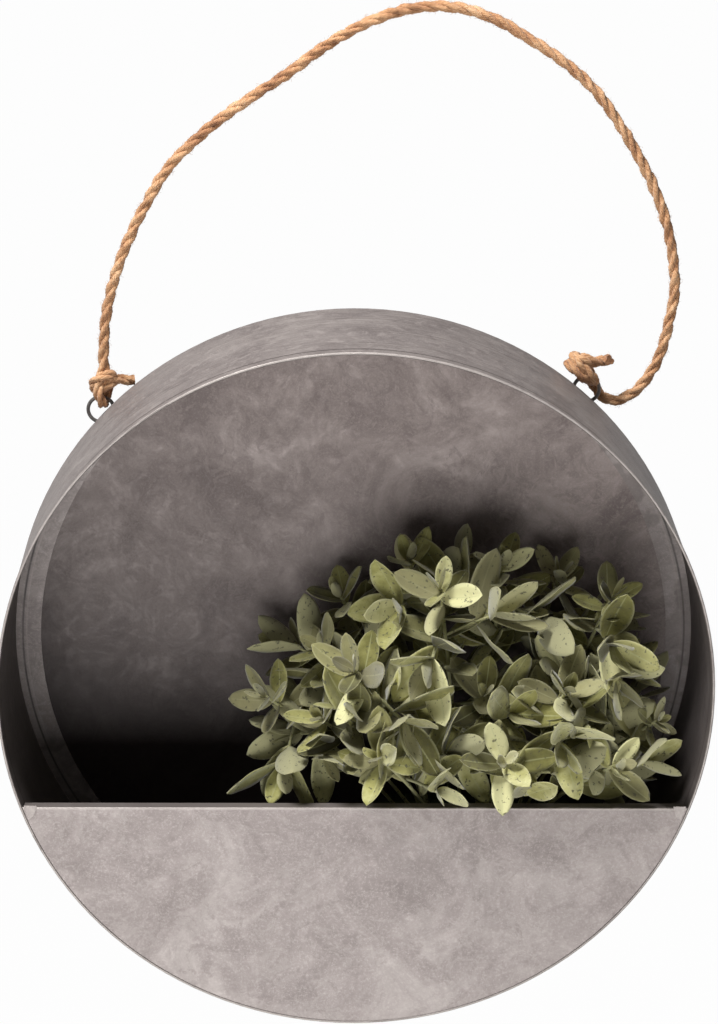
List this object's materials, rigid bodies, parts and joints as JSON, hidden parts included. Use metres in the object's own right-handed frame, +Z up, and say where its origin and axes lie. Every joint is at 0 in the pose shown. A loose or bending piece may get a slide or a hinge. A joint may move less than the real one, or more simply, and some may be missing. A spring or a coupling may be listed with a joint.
{
  "type": "wall planter",
  "caption": "Round zinc-coated wall planter with a half-moon front pocket, hung by wire rings from a jute rope, with a removable bush of grey-green felted sprigs.",
  "frame": {"origin": "the underside of the rope at the top of its arch, where a wall hook carries it", "axes": "+X to the viewer's right, +Y into the wall, +Z up; the part faces -Y"},
  "size_m": [0.4006, 0.1497, 0.5744],
  "materials": {
    "zinc_sheet": "matt weathered zinc",
    "solder": "dull solder",
    "ring_wire": "dull zinc-coated wire",
    "jute": "twisted hairy fibre",
    "dry_foam": "matt porous",
    "leaf": "felted"
  },
  "bodies": {
    "rope": {"rope_span": "jute", "rope_knot_left": "jute", "rope_knot_right": "jute"},
    "rings": {"ring_left": "ring_wire", "ring_right": "ring_wire"},
    "planter": {"rim_band": "zinc_sheet", "back_panel": "zinc_sheet", "front_panel": "zinc_sheet", "corner_tab_left": "solder", "corner_tab_right": "solder", "ring_staple_left": "ring_wire", "ring_staple_right": "ring_wire"},
    "bush": {"foam_block": "dry_foam", "sprig_01": "leaf", "sprig_02": "leaf", "sprig_03": "leaf", "sprig_04": "leaf", "sprig_05": "leaf", "sprig_06": "leaf", "sprig_07": "leaf", "sprig_08": "leaf", "sprig_09": "leaf", "sprig_10": "leaf", "sprig_11": "leaf", "sprig_12": "leaf", "sprig_13": "leaf", "sprig_14": "leaf", "sprig_15": "leaf", "sprig_16": "leaf", "sprig_17": "leaf", "sprig_18": "leaf"}
  },
  "joints": [
    {"name": "rings_swing", "type": "hinge", "parent": "rope", "child": "rings", "pos_m": [-0.18976, 0, -0.22176], "axis": [0.9989, 0, 0.0471], "range_deg": [-24, 0]},
    {"name": "planter_tilt", "type": "hinge", "parent": "rings", "child": "planter", "pos_m": [-0.18905, 0, -0.23664], "axis": [0.9989, 0, 0.0471], "range_deg": [-5.5, 0]},
    {"name": "bush_lift", "type": "slide", "parent": "planter", "child": "bush", "axis": [0, 0, 1], "range_m": [0, 0.045]}
  ]
}
